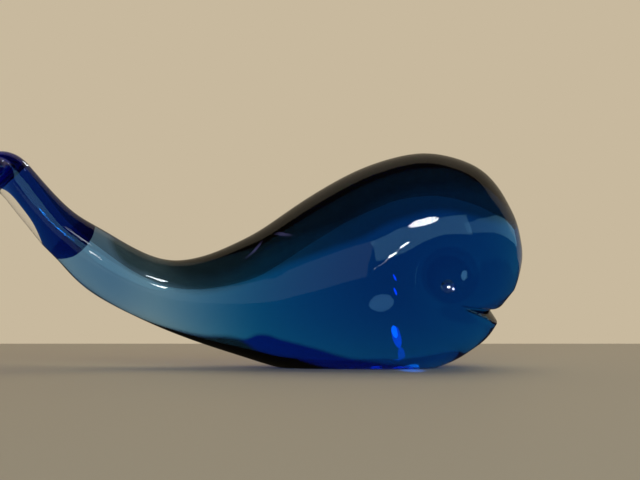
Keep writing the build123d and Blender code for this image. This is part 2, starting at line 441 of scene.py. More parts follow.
def select_open_edges(corner_sets):
    """Selects the open edges that run within each of these sets of corners."""
    bpy.ops.mesh.select_all(action="DESELECT")
    shape = edit_mesh()
    for edge in shape.edges:
        if len(edge.link_faces) < 2:
            ends = {corner.index for corner in edge.verts}
            if any(ends <= corners for corners in corner_sets):
                edge.select_set(True)
    bmesh.update_edit_mesh(bpy.context.object.data)


def bridge(corner_sets):
    """Joins the rings one after another with faces."""
    for first, second in zip(corner_sets, corner_sets[1:]):
        select_open_edges([first, second])
        bpy.ops.mesh.bridge_edge_loops()


def add_circle(corners):
    """Adds a circle, grown so that the smoothed ring has a radius of 1."""
    bpy.ops.mesh.primitive_circle_add(vertices=corners, radius=1 / ring_shrink(corners))


def add_ring(section, corners):
    """Adds a section as one more ring of the piece that is being edited."""
    add_circle(corners)
    return place_ring(section, corners)


def place_ring(section, corners):
    """Sets the corners that were added last in a section's place, and returns which they are."""
    half_sizes = (section.half_width, section.half_height, 1)
    placed = Matrix.LocRotScale(section.middle, section.turned, half_sizes)
    shape = edit_mesh()
    start = len(shape.verts) - corners
    for corner in shape.verts[start:]:
        corner.co = placed @ corner.co
    bmesh.update_edit_mesh(bpy.context.object.data)
    return set(range(start, start + corners))


def close_end(corner_set, section, tip):
    """Fills the last ring with a grid and swells it out to the tip."""
    start = len(edit_mesh().verts)
    select_open_edges([corner_set])
    bpy.ops.mesh.fill_grid(span=len(corner_set) // 4)
    shape = edit_mesh()
    swell = tip - section.middle
    for corner in shape.verts[start:]:
        across, up = section.shares(corner.co)
        corner.co += swell * max(0, 1 - across * across - up * up)
    bmesh.update_edit_mesh(bpy.context.object.data)


def start_gather(name, sections, corners):
    """Starts a new piece as a chain of rings bridged with faces, and stays in edit mode."""
    deselect_all()
    add_circle(corners)
    piece = named(bpy.context.object, name)
    bpy.ops.object.mode_set(mode="EDIT")
    bpy.ops.mesh.select_mode(type="EDGE")
    sets = [place_ring(sections[0], corners)]
    sets += [add_ring(section, corners) for section in sections[1:]]
    bridge(sets)
    return piece, sets


def smooth_gather(piece):
    """Turns the faces outwards and smooths the cage for good."""
    bpy.ops.mesh.select_all(action="SELECT")
    bpy.ops.mesh.normals_make_consistent(inside=False)
    make_active(piece)
    smoothing = piece.modifiers.new("smooth", "SUBSURF")
    smoothing.levels = SMOOTH_LEVELS
    smoothing.render_levels = SMOOTH_LEVELS
    bpy.ops.object.modifier_apply(modifier=smoothing.name)


def cut_flat(piece, height):
    """Grinds the piece flat at a height above the ground."""
    make_active(piece)
    bpy.ops.object.mode_set(mode="EDIT")
    bpy.ops.mesh.select_all(action="SELECT")
    bpy.ops.mesh.bisect(
        plane_co=(0, 0, height),
        plane_no=(0, 0, 1),
        use_fill=True,
        clear_inner=True,
        threshold=CUT_SLACK,
    )
    deselect_all()


def take_away(piece, cutter):
    """Cuts one shape out of a piece and removes the cutter."""
    make_active(piece)
    cut = piece.modifiers.new("cut", "BOOLEAN")
    cut.operation = "DIFFERENCE"
    cut.solver = "EXACT"
    cut.object = cutter
    bpy.ops.object.modifier_apply(modifier=cut.name)
    bpy.data.objects.remove(cutter, do_unlink=True)


def press_ball(piece, middle, radius):
    """Presses a ball into the side of a piece, with a soft rim to the dish."""
    for corner in piece.data.vertices:
        away = corner.co - middle
        reach = away.length
        over = reach - radius
        if over < DISH_REACH * DISH_SOFTNESS:
            pressed = (reach + radius + math.hypot(over, DISH_SOFTNESS)) / 2
            corner.co = middle + away * (pressed / reach)
    piece.data.update()


def press_dishes(piece, radius):
    """Presses a dish into both sides of the head."""
    x, y, z = bpy.data.objects["clear_gather"]["dish_ball_middle"]
    for side in (1, -1):
        press_ball(piece, Vector((x, side * y, z)), radius)


def lobe_sections(body, tail, side, cover):
    """Rings of one lobe of the tail, under its cover, and the place of its tip."""
    sections = []
    for back, out, middle, half_chord, half_thickness, sweep in LOBE_SHARES:
        turn = math.radians(sweep)
        chord_way = Vector((math.sin(turn), side * math.cos(turn), 0))
        lobe_way = Vector((-math.cos(turn), side * math.sin(turn), 0))
        turned = Matrix((chord_way, lobe_way.cross(chord_way), lobe_way)).transposed()
        sections.append(Section(
            Vector((
                from_nose(body, back * body.overall_length),
                side * out * tail.lobe_span / 2,
                middle * tail.tail_height,
            )),
            turned,
            half_chord * tail.lobe_chord - cover,
            half_thickness * tail.lobe_thickness - cover,
        ))
    back, out, middle = LOBE_TIP_SHARES
    tip = Vector((
        from_nose(body, back * body.overall_length) + cover,
        side * (out * tail.lobe_span / 2 - cover),
        middle * tail.tail_height,
    ))
    return sections, tip


def open_stem(sets, sections):
    """Opens both sides of the stem over its last rows, and returns the two rims."""
    shape = edit_mesh()
    sides = {1: set(), -1: set()}
    for corners, section in zip(sets, sections):
        for index in corners:
            across, up = section.shares(shape.verts[index].co)
            if abs(up) < STEM_SIDE_SLOPE * abs(across):
                sides[1 if across > 0 else -1].add(index)
    bpy.ops.mesh.select_mode(type="FACE")
    bpy.ops.mesh.select_all(action="DESELECT")
    shape = edit_mesh()
    for face in shape.faces:
        corners = {corner.index for corner in face.verts}
        if corners <= sides[1] or corners <= sides[-1]:
            face.select_set(True)
    bmesh.update_edit_mesh(bpy.context.object.data)
    bpy.ops.mesh.delete(type="FACE")
    # The mesh is put down and picked up again, so that new corners are numbered after the old ones.
    bpy.ops.object.mode_set(mode="OBJECT")
    bpy.ops.object.mode_set(mode="EDIT")
    bpy.ops.mesh.select_mode(type="EDGE")
    shape = edit_mesh()
    rims = {1: set(), -1: set()}
    for edge in shape.edges:
        if edge.is_boundary:
            for corner in edge.verts:
                rims[1 if corner.co.y > 0 else -1].add(corner.index)
    if len(rims[1]) != LOBE_CORNERS or len(rims[-1]) != LOBE_CORNERS:
        raise RuntimeError(f"the lobes' openings have {len(rims[1])} and {len(rims[-1])} corners")
    return rims


def grow_lobes(body, tail, sets, sections, cover):
    """Grows both lobes out of the stem's last rows."""
    rims = open_stem(sets, sections)
    for side, rim in rims.items():
        rings, tip = lobe_sections(body, tail, side, cover)
        lobe_sets = [add_ring(ring, LOBE_CORNERS) for ring in rings]
        bridge([rim] + lobe_sets)
        close_end(lobe_sets[-1], rings[-1], tip)


def round_end(section, way):
    """Rings that round off an end, and the place of its tip."""
    reach = way * min(section.half_width, section.half_height)
    rings = []
    for angle in CAP_ANGLES:
        turn = math.radians(angle)
        rings.append(section.moved(reach * math.sin(turn), math.cos(turn)))
    return rings, section.moved(reach, 1).middle


def along_slope(start, slope, reach):
    """The point that lies a reach away from a start, up a slope."""
    return start[0] + reach * math.cos(slope), start[1] + reach * math.sin(slope)


def mouth_outline(face, round_radius):
    """The wedge's outline around its inner end, as distances forward and up."""
    slopes = (face.mouth_upper, face.mouth_lower, face.mouth_snout)
    upper, lower, snout = (math.radians(slope) for slope in slopes)
    shares = [step / MOUTH_ROUND_STEPS for step in range(MOUTH_ROUND_STEPS + 1)]
    half_turn = lower - upper + math.pi
    outline = [
        along_slope((0, 0), upper + math.pi / 2 + half_turn * share, round_radius)
        for share in shares
    ]
    outline.append(along_slope(outline[-1], lower, MOUTH_WALL_LENGTH))
    lip_middle = (-face.mouth_lip_radius * math.sin(upper), face.mouth_lip_radius * math.cos(upper))
    lip_radius = face.mouth_lip_radius - round_radius
    lip = [
        along_slope(lip_middle, upper - math.pi / 2 + (snout - upper) * share, lip_radius)
        for share in shares[1:]
    ]
    outline.append(along_slope(lip[-1], snout, MOUTH_WALL_LENGTH))
    return outline + lip[::-1]


def mouth_cutter(body, face, cover):
    """The wedge of the mouth, spun about an upright line behind it."""
    droop = math.radians(face.mouth_droop)
    forward = Vector((math.cos(droop), 0, -math.sin(droop)))
    upward = Vector((math.sin(droop), 0, math.cos(droop)))
    inner_end = Vector((from_nose(body, face.mouth_back), 0, face.mouth_height))
    middle = inner_end - forward * face.mouth_round_radius
    outline = mouth_outline(face, cover + MOUTH_ROUND)
    deselect_all()
    bpy.ops.mesh.primitive_circle_add(vertices=len(outline), fill_type="NGON")
    cutter = bpy.context.object
    sideways = Matrix.Rotation(math.radians(MOUTH_SPIN / 2), 3, upward) @ forward
    for corner, (along, up) in zip(cutter.data.vertices, outline):
        corner.co = middle + sideways * (face.mouth_round_radius + along) + upward * up
    bpy.ops.object.mode_set(mode="EDIT")
    bpy.ops.mesh.select_all(action="SELECT")
    bpy.ops.mesh.spin(
        steps=MOUTH_SPIN_STEPS, angle=math.radians(MOUTH_SPIN), center=middle, axis=upward)
    bpy.ops.mesh.select_all(action="SELECT")
    bpy.ops.mesh.fill_holes(sides=0)
    bpy.ops.mesh.select_all(action="SELECT")
    bpy.ops.mesh.normals_make_consistent(inside=False)
    deselect_all()
    return cutter


def soften_lips(piece, body, face):
    """Rounds the lips of the mouth where the wedge met the skin."""
    make_active(piece)
    bpy.ops.object.mode_set(mode="EDIT")
    bpy.ops.mesh.select_mode(type="EDGE")
    bpy.ops.mesh.select_all(action="DESELECT")
    for edge in edit_mesh().edges:
        if len(edge.link_faces) == 2 and edge.calc_face_angle() > math.radians(LIP_ANGLE):
            middle = (edge.verts[0].co + edge.verts[1].co) / 2
            near_mouth = abs(middle.z - face.mouth_height) < LIP_HEIGHT
            if near_mouth and middle.x > from_nose(body, LIP_LENGTH_SHARE * face.mouth_back):
                edge.select_set(True)
    bmesh.update_edit_mesh(piece.data)
    bpy.ops.mesh.select_mode(type="VERT")
    bpy.ops.mesh.select_more()
    bpy.ops.mesh.vertices_smooth(factor=0.5, repeat=LIP_SMOOTHING)
    deselect_all()


def shade(piece, material):
    """Smooths the shading except at ground edges, and gives the piece its glass."""
    make_active(piece)
    bpy.ops.object.shade_smooth_by_angle(angle=math.radians(CRISP_ANGLE))
    piece.data.materials.clear()
    piece.data.materials.append(material)
    deselect_all()


def touch_side(skin, body, back, height):
    """Where a line from the left at this place meets the head, and the way the skin faces there."""
    start = Vector((from_nose(body, back), body.head_width, height))
    found, touch, outward, _ = skin.ray_cast(start, Vector((0, -1, 0)))
    if not found:
        raise RuntimeError(f"the line {back:.4f} m behind the nose misses the head")
    return touch, outward


def dish_place(body, face, skin):
    """The middle of the ball that presses the dish into the left side of the head."""
    touch, outward = touch_side(skin, body, face.dish_back, face.dish_height)
    return touch + outward * (face.dish_ball_radius - face.dish_depth)


def opaque(tint):
    """A colour with its fourth number, for a socket."""
    return *tint, 1


class Wire:
    """A value in a node tree. Sums on it add Math nodes."""

    def __init__(self, tree, socket):
        self.tree = tree
        self.socket = socket

    def _sum(self, operation, *values):
        node = self.tree.nodes.new("ShaderNodeMath")
        node.operation = operation
        for socket, value in zip(node.inputs, values):
            if isinstance(value, Wire):
                self.tree.links.new(value.socket, socket)
            else:
                socket.default_value = value
        return Wire(self.tree, node.outputs[0])

    def __add__(self, other):
        return self._sum("ADD", self, other)

    __radd__ = __add__

    def __sub__(self, other):
        return self._sum("SUBTRACT", self, other)

    def __rsub__(self, other):
        return self._sum("SUBTRACT", other, self)

    def __mul__(self, other):
        return self._sum("MULTIPLY", self, other)

    __rmul__ = __mul__

    def __truediv__(self, other):
        return self._sum("DIVIDE", self, other)

    def __rtruediv__(self, other):
        return self._sum("DIVIDE", other, self)

    def __neg__(self):
        return self._sum("SUBTRACT", 0, self)

    def root(self):
        """The square root of the value."""
        return self._sum("SQRT", self)

    def most(self, other):
        """The larger of two values."""
        return self._sum("MAXIMUM", self, other)


class Recipe:
    """The node tree of a material or of the room, and the few ways its nodes are added."""

    def __init__(self, owner, output):
        owner.use_nodes = True
        self.owner = owner
        self.tree = owner.node_tree
        self.tree.nodes.clear()
        self.output = self.node(output)

    def node(self, kind, settings=None, **sockets):
        """Adds a node: its settings first, then the values or links of its sockets."""
        node = self.tree.nodes.new(kind)
        for name, value in (settings or {}).items():
            setattr(node, name, value)
        for name, value in sockets.items():
            self.set(node, name.replace("_", " "), value)
        return node

    def set(self, node, name, value):
        """Sets or links one socket of a node, by its name or number."""
        socket = node.inputs[name]
        if isinstance(value, Wire):
            self.tree.links.new(value.socket, socket)
        elif isinstance(value, bpy.types.NodeSocket):
            self.tree.links.new(value, socket)
        else:
            socket.default_value = value

    def wires(self, node, *names):
        """Some of a node's outputs as values to reckon with."""
        return [Wire(self.tree, node.outputs[name]) for name in names]

    def place(self):
        """The point being shaded, in the piece's own metres."""
        texture = self.node("ShaderNodeTexCoord")
        apart = self.node("ShaderNodeSeparateXYZ", Vector=texture.outputs["Object"])
        return texture.outputs["Object"], self.wires(apart, "X", "Y", "Z")

    def step(self, value, low, high):
        """0 before low, 1 past high, and smooth between. Low may be the larger one."""
        ramp = self.node(
            "ShaderNodeMapRange",
            {"interpolation_type": "SMOOTHSTEP"},
            Value=value, From_Min=low, From_Max=high,
        )
        return Wire(self.tree, ramp.outputs["Result"])

    def curve(self, value, points):
        """A smooth curve through some points, each from 0 to 1 both ways."""
        node = self.node("ShaderNodeFloatCurve", Value=value)
        line = node.mapping.curves[0]
        line.points[0].location = points[0]
        line.points[1].location = points[-1]
        for point in points[1:-1]:
            line.points.new(*point)
        node.mapping.update()
        return Wire(self.tree, node.outputs["Value"])

    def mixed(self, amount, first, second):
        """One colour laid over another by an amount."""
        node = self.node("ShaderNodeMix", {"data_type": "RGBA"})
        for socket, value in zip(COLOUR_MIX_INPUTS, (amount, first, second)):
            self.set(node, socket, value)
        return node.outputs[COLOUR_MIX_RESULT]

    def finish(self, surface, shadow, volume=None):
        """Lets lamps through the glass, tinted, and joins its shaders to the output."""
        through = self.node("ShaderNodeBsdfTransparent", Color=opaque(shadow))
        path = self.node("ShaderNodeLightPath")
        mix = self.node("ShaderNodeMixShader", Fac=path.outputs["Is Shadow Ray"])
        self.set(mix, 1, surface.outputs[0])
        self.set(mix, 2, through.outputs[0])
        self.set(self.output, "Surface", mix.outputs[0])
        if volume:
            self.set(self.output, "Volume", volume.outputs[0])
        return self.owner


def new_material(name):
    """An empty recipe for a material."""
    return Recipe(bpy.data.materials.new(name), "ShaderNodeOutputMaterial")


def mouth_painted_shade(glass, place, body, face):
    """Painted shade in the mouth's crease, from 0 to 1, by nearness to its inner end and lower
    wall.
    """
    x, y, z = place
    droop = math.radians(face.mouth_droop)
    lower = math.radians(-face.mouth_lower)
    middle_x = from_nose(body, face.mouth_back) - math.cos(droop) * face.mouth_round_radius
    along = x - middle_x
    over = z - (face.mouth_height + math.sin(droop) * face.mouth_round_radius)
    forward = along * math.cos(droop) - over * math.sin(droop)
    up = along * math.sin(droop) + over * math.cos(droop)
    out = (forward * forward + y * y).root() - face.mouth_round_radius
    from_wall = out * math.sin(lower) + up * math.cos(lower) + MOUTH_ROUND
    near_wall = glass.step(from_wall.most(-from_wall), *CREASE_BLEND)
    return near_wall * glass.step(out, *CREASE_DEPTH) * glass.step(forward, *CREASE_FRONT)


def clear_glass(name, tint, mouth=None):
    """Clear glass with the faint waves of hand-worked glass, and painted shade in a mouth's crease.
    """
    glass = new_material(name)
    place, apart = glass.place()
    waves = glass.node("ShaderNodeTexNoise", Vector=place, Scale=55.0, Detail=1.5)
    bump = glass.node(
        "ShaderNodeBump", Height=waves.outputs["Fac"], Strength=0.06, Distance=1.2 * MILLIMETRE)
    tint = opaque(tint)
    if mouth:
        # The crease's dark tint is painted shade.
        tint = glass.mixed(mouth_painted_shade(glass, apart, *mouth), tint, opaque(CREASE_PAINTED_SHADE))
    surface = glass.node(
        "ShaderNodeBsdfPrincipled",
        Base_Color=tint,
        Transmission_Weight=1.0,
        Roughness=0.02,
        IOR=BENDING_GLASS,
        Normal=bump.outputs["Normal"],
    )
    return glass.finish(surface, CLEAR_SHADOW)


def coloured_glass(glass, tint, absorb, density, shadow):
    """A coloured body inside the clear glass: its tint shows at once, and its depth darkens it."""
    surface = glass.node(
        "ShaderNodeBsdfPrincipled",
        Base_Color=tint,
        Transmission_Weight=1.0,
        Roughness=0.0,
        IOR=STRAIGHT_GLASS,
    )
    volume = glass.node("ShaderNodeVolumeAbsorption", Color=opaque(absorb), Density=density)
    return glass.finish(surface, shadow, volume)


def steel_blue_glass(colours, body, face):
    """The body's blue glass, with painted shade along the back, behind the dish and over the heel.
    """
    glass = new_material("steel_blue_glass")
    _, (x, _, z) = glass.place()
    back = (from_nose(body) - x) / body.overall_length
    up = z / body.head_height
    across = x - from_nose(body, face.dish_back)
    over = z - face.dish_height
    from_dish = (across * across + over * over).root()
    above_band = up - glass.curve(back, BAND_EDGE_SHARES)
    under_wedge = glass.curve(back, WEDGE_EDGE_SHARES) - up
    under_black = glass.curve(back, BLACK_EDGE_SHARES) - up
    tint = opaque(colours.body_blue)
    # The neck's and bulb's tints are the glass's own; the dish, back, heel and black are painted
    # shade.
    for amount, paint in (
        (glass.step(back, *NECK_BLEND), colours.neck_blue),
        (glass.step(back, *BULB_END_BLEND), colours.bulb_end_blue),
        (glass.step(from_dish, *DISH_BLEND) * DISH_AMOUNT, colours.dish_painted_shade),
        (glass.step(above_band, *BAND_BLEND), colours.back_painted_shade),
        (glass.step(under_wedge, *WEDGE_BLEND), colours.heel_painted_shade),
        (glass.step(under_black, *BLACK_BLEND), BLACK_PAINTED_SHADE),
    ):
        tint = glass.mixed(amount, tint, opaque(paint))
    return coloured_glass(
        glass, tint, colours.body_absorb, colours.body_density, STEEL_BLUE_SHADOW)


def cobalt_glass(colours, body):
    """The tail's cobalt glass, darkest in the bulb and brightest in the lobes."""
    glass = new_material("cobalt_glass")
    _, (x, _, _) = glass.place()
    back = (from_nose(body) - x) / body.overall_length
    tint = opaque(colours.bulb_blue)
    tint = glass.mixed(glass.step(back, *BULB_BLEND), tint, opaque(colours.tail_blue))
    tint = glass.mixed(glass.step(back, *LOBE_BLEND), tint, opaque(colours.lobe_blue))
    return coloured_glass(glass, tint, colours.tail_absorb, colours.tail_density, COBALT_SHADOW)


def table_finish(colours):
    """A plain pale table top with a faint, even grain."""
    table = new_material("pale_table")
    place, _ = table.place()
    grain = table.node("ShaderNodeTexNoise", Vector=place, Scale=900.0, Detail=2.0)
    deeper = [value * GRAIN_DEPTH for value in colours.table]
    surface = table.node(
        "ShaderNodeBsdfPrincipled",
        Base_Color=table.mixed(grain.outputs["Fac"], opaque(colours.table), opaque(deeper)),
        Roughness=0.6,
    )
    table.set(table.output, "Surface", surface.outputs[0])
    return table.owner


def length(name, description, default):
    """A size in metres, from millimetres."""
    return bpy.props.FloatProperty(
        name=name,
        description=description,
        default=default * MILLIMETRE,
        unit="LENGTH",
        precision=5,
    )


def angle(name, description, default):
    """An angle in degrees."""
    return bpy.props.FloatProperty(name=name, description=description, default=default)


def colour(name, description, default):
    """A colour, as linear red, green and blue."""
    return bpy.props.FloatVectorProperty(
        name=name,
        description=description,
        default=default,
        size=3,
        subtype="COLOR",
        min=0,
        max=1,
    )


def per_metre(name, description, default):
    """How strongly a body of glass absorbs light, per metre."""
    return bpy.props.FloatProperty(name=name, description=description, default=default)


class GLASSWHALE_PG_body(bpy.types.PropertyGroup):
    """Sizes of the head and body."""

    overall_length: length("Overall length", "From the nose to the tips of the lobes", 193)
    head_height: length("Head height", "Height that the body's rows are shares of", 74)
    head_width: length("Head width", "Widest width of the head", 54)
    cover_top: length("Cover on top", "Clear glass over the core's back", 3)
    cover_side: length("Cover at the side", "Clear glass over the core's sides", 2.5)
    cover_belly: length("Cover under the belly", "Clear glass under the core", 1)
    cover_nose: length("Cover at the nose", "Clear glass before the core", 4)


class GLASSWHALE_PG_tail(bpy.types.PropertyGroup):
    """Sizes of the stem and the lobes."""

    tail_height: length("Tail height", "Height that the tail's rows are shares of", 66.2)
    stem_thickness: length("Stem thickness", "Thickness that the stem's rows are shares of", 13.6)
    stem_width: length("Stem width", "Width that the stem's rows are shares of", 13)
    rod_cover_top: length("Cover over the rod", "Clear glass over the cobalt rod", 0.6)
    rod_cover_side: length("Cover beside the rod", "Clear glass beside the cobalt rod", 1.2)
    rod_cover_bottom: length("Cover under the rod", "Clear glass under the cobalt rod", 4.1)
    lobe_span: length("Lobe span", "From tip to tip of the two lobes", 46)
    lobe_chord: length("Lobe chord", "Length that the lobes' rows are shares of", 17)
    lobe_thickness: length("Lobe thickness", "Thickness that the lobes' rows are shares of", 10)
    lobe_cover: length("Cover over the lobes", "Clear glass over the cobalt of the lobes", 1.2)


class GLASSWHALE_PG_face(bpy.types.PropertyGroup):
    """Sizes of the eyes and the mouth."""

    dish_ball_radius: length("Dish ball", "Radius of the ball that presses the dish", 45)
    dish_depth: length("Dish depth", "How deep the ball is pressed in", 2.3)
    dish_back: length("Dish back", "From the nose back to the dish", 26.4)
    dish_height: length("Dish height", "From the ground to the dish", 31.9)
    dish_cover: length("Dish cover", "Clear glass behind the dish", 3.4)
    bead_radius: length("Bead radius", "Radius of an eye's bead", 2.4)
    bead_stand: length("Bead stand", "How far a bead stands out of its dish", 2.0)
    bead_back: length("Bead back", "From the nose back to the bead", 27.0)
    bead_height: length("Bead height", "From the ground to the bead", 28.0)
    mouth_back: length("Mouth back", "From the nose back to the mouth's inner end", 10.7)
    mouth_height: length("Mouth height", "From the ground to the mouth's inner end", 19.5)
    mouth_round_radius: length("Mouth round", "How the mouth bends round the head", 29)
    mouth_lip_radius: length("Upper lip round", "How the upper wall curves up into the snout", 5)
    mouth_upper: angle("Upper wall", "Slope of the upper wall at its inner end, in degrees", 6)
    mouth_snout: angle("Snout wall", "Slope of the mouth's upper wall at the snout, in degrees", 60)
    mouth_lower: angle("Lower wall", "Slope of the mouth's lower wall, in degrees", -43)
    mouth_droop: angle("Droop", "How far the mouth points down, in degrees", 9)


class GLASSWHALE_PG_colours(bpy.types.PropertyGroup):
    """Colours of the glass and the stage."""

    clear_tint: colour("Clear glass", "Tint of the clear gather", (0.98, 0.985, 0.99))
    body_blue: colour("Body", "Tint of the body's core", (0.11, 0.67, 0.80))
    # The dish's tint is painted shade in the dish.
    dish_painted_shade: colour("Dish", "Tint of the core behind the dish", (0.04, 0.42, 0.66))
    neck_blue: colour("Neck", "Tint of the core towards the tail", (1.0, 1.0, 1.0))
    bulb_end_blue: colour("Neck's end", "Tint of the core before the bulb", (0.55, 0.70, 0.88))
    bead_tint: colour("Bead", "Tint of the beads", (0.25, 0.55, 0.85))
    # The back's tint is painted shade along the back.
    back_painted_shade: colour("Body's back", "Tint of the core along the back", (0.1, 0.13, 0.12))
    # The heel's tint is ultramarine painted shade over the ground.
    heel_painted_shade: colour("Body's heel", "Tint of the core at the ground's rear", (0.0, 0.01, 0.34))
    body_absorb: colour("Body depth", "What the core lets through in depth", (0.0, 0.475, 0.815))
    body_density: per_metre("Body density", "Absorption of the body's core per metre", 110)
    tail_blue: colour("Tail", "Tint of the tail's cobalt", (0.008, 0.075, 0.38))
    bulb_blue: colour("Bulb", "Tint of the cobalt in the bulb", (0.002, 0.01, 0.16))
    lobe_blue: colour("Lobes", "Tint of the cobalt in the lobes", (0.10, 0.35, 1.0))
    tail_absorb: colour("Tail depth", "What the cobalt lets through in depth", (0.0, 0.12, 0.7))
    tail_density: per_metre("Tail density", "Absorption of the tail's cobalt per metre", 130)
    table: colour("Table", "Colour of the table top", (0.50, 0.42, 0.32))
    wall: colour("Backdrop", "Colour behind the whale", (0.578, 0.485, 0.342))


def sizes():
    """The property groups with the sizes of the whale."""
    scene = bpy.context.scene
    return scene.glasswhale_body, scene.glasswhale_tail, scene.glasswhale_face


def as_sections(rows):
    """Rings square to the middle line, from rows of numbers."""
    return [square_to_middle_line(*row) for row in rows]


class GLASSWHALE_OT_clear_gather(bpy.types.Operator):
    """Blow the clear gather: the outer skin of the whole whale"""

    bl_idname = "glasswhale.clear_gather"
    bl_label = "Clear gather"

    def execute(self, context):
        body, tail, face = sizes()
        sections = as_sections(drawn_through(whale_rows(body, tail)))
        end_rings, end_tip = round_end(sections[-1], -1)
        chain = sections + end_rings
        piece, sets = start_gather("clear_gather", chain, BODY_CORNERS)
        nose = Vector((from_nose(body), 0, sections[0].middle.z))
        close_end(sets[0], chain[0], nose)
        close_end(sets[-1], chain[-1], end_tip)
        last = len(sections)
        grow_lobes(body, tail, sets[last - LOBE_ROWS:last], sections[-LOBE_ROWS:], 0)
        smooth_gather(piece)
        piece["dish_ball_middle"] = dish_place(body, face, piece)
        press_dishes(piece, face.dish_ball_radius)
        cut_flat(piece, 0)
        take_away(piece, mouth_cutter(body, face, 0))
        soften_lips(piece, body, face)
        tint = context.scene.glasswhale_colours.clear_tint
        shade(piece, clear_glass("clear_glass", tint, (body, face)))
        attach(piece, "root")
        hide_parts("body_casing", "tail_casing")
        return {"FINISHED"}


class GLASSWHALE_OT_blue_core(bpy.types.Operator):
    """Lay the steel-blue core of the head, body and neck"""

    bl_idname = "glasswhale.blue_core"
    bl_label = "Blue core"

    def execute(self, context):
        body, tail, face = sizes()
        rows = drawn_through(whale_rows(body, tail))[:len(BODY_SHARES) + BULB_ROW + 1]
        chain = []
        for section in as_sections(rows):
            back = from_nose(body) - section.middle.x
            grown = min(1, back / (NOSE_BLEND_SHARE * body.overall_length))
            covers = (body.cover_top, body.cover_side, body.cover_belly)
            inner = section.drawn_in(*(grown * cover for cover in covers))
            inner.middle = inner.middle - Vector(((1 - grown) * body.cover_nose, 0, 0))
            chain.append(inner)
        chain.append(chain[-1].moved(-CORE_END_LENGTH, CORE_END_SCALE))
        piece, sets = start_gather("blue_core", chain, BODY_CORNERS)
        nose = Vector((from_nose(body, body.cover_nose), 0, chain[0].middle.z))
        close_end(sets[0], chain[0], nose)
        close_end(sets[-1], chain[-1], chain[-1].middle)
        smooth_gather(piece)
        press_dishes(piece, face.dish_ball_radius + face.dish_cover)
        cut_flat(piece, body.cover_belly)
        take_away(piece, mouth_cutter(body, face, body.cover_side))
        soften_lips(piece, body, face)
        shade(piece, steel_blue_glass(context.scene.glasswhale_colours, body, face))
        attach(piece, "root")
        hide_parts("body_core")
        return {"FINISHED"}


def rod_sections(body, tail):
    """Rings of the cobalt rod from its bulb to the fork. Its cover thins out at both ends."""
    rows = drawn_through(whale_rows(body, tail))[len(BODY_SHARES) + BULB_ROW:]
    sections = []
    for index, section in enumerate(as_sections(rows)):
        at_lobes = max(0, index + 1 - (len(rows) - LOBE_ROWS)) / LOBE_ROWS
        at_bulb = (BULB_COVER_ROWS - 1 - index) / BULB_COVER_ROWS
        thinned = max(at_lobes, at_bulb)
        under = tail.rod_cover_bottom + (tail.lobe_cover - tail.rod_cover_bottom) * thinned
        sections.append(section.drawn_in(tail.rod_cover_top, tail.rod_cover_side, under))
    return sections


class GLASSWHALE_OT_cobalt_tail(bpy.types.Operator):
    """Lay the cobalt rod of the tail with its bulb and its two lobes"""

    bl_idname = "glasswhale.cobalt_tail"
    bl_label = "Cobalt tail"

    def execute(self, context):
        body, tail, _ = sizes()
        sections = rod_sections(body, tail)
        sections[0] = sections[0].moved(-BULB_SETBACK, 1)
        front_rings, front_tip = round_end(sections[0], 1)
        end_rings, end_tip = round_end(sections[-1], -1)
        chain = front_rings[::-1] + sections + end_rings
        piece, sets = start_gather("cobalt_tail", chain, BODY_CORNERS)
        close_end(sets[0], chain[0], front_tip)
        close_end(sets[-1], chain[-1], end_tip)
        last = len(front_rings) + len(sections)
        lobe_sets = sets[last - LOBE_ROWS:last]
        grow_lobes(body, tail, lobe_sets, sections[-LOBE_ROWS:], tail.lobe_cover)
        smooth_gather(piece)
        shade(piece, cobalt_glass(context.scene.glasswhale_colours, body))
        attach(piece, "root")
        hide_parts("tail_core", "left_fluke", "right_fluke")
        return {"FINISHED"}


class GLASSWHALE_OT_beads(bpy.types.Operator):
    """Set a clear bead in the dish of each eye"""

    bl_idname = "glasswhale.beads"
    bl_label = "Bead eyes"

    def execute(self, context):
        body, _, face = sizes()
        skin = bpy.data.objects["clear_gather"]
        material = clear_glass("bead_glass", context.scene.glasswhale_colours.bead_tint)
        floor, outward = touch_side(skin, body, face.bead_back, face.bead_height)
        middle = floor + outward * (BEAD_GAP + face.bead_stand - face.bead_radius)
        for name, side in (("left_bead", 1), ("right_bead", -1)):
            deselect_all()
            mirrored = Vector((1, side, 1))
            bpy.ops.mesh.primitive_uv_sphere_add(
                segments=48, ring_count=32, radius=face.bead_radius, location=middle * mirrored)
            piece = named(bpy.context.object, name)
            bpy.ops.object.transform_apply(location=True, rotation=True, scale=True)
            bpy.ops.object.mode_set(mode="EDIT")
            bpy.ops.mesh.select_all(action="SELECT")
            bpy.ops.mesh.bisect(
                plane_co=(floor + outward * BEAD_GAP) * mirrored,
                plane_no=outward * mirrored,
                use_fill=True,
                clear_inner=True,
            )
            make_active(piece)
            rim = piece.modifiers.new("rim", "BEVEL")
            rim.width = BEAD_RIM
            rim.segments = 3
            rim.angle_limit = math.radians(40)
            bpy.ops.object.modifier_apply(modifier=rim.name)
            shade(piece, material)
            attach(piece, "root")
            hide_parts("left_eye" if side > 0 else "right_eye")
        return {"FINISHED"}


def direction(azimuth, elevation):
    """The way from the head to a lamp: azimuth 0 is in front, 90 before the nose."""
    turn, rise = math.radians(azimuth), math.radians(elevation)
    across = math.cos(rise)
    return Vector((math.sin(turn) * across, -math.cos(turn) * across, math.sin(rise)))


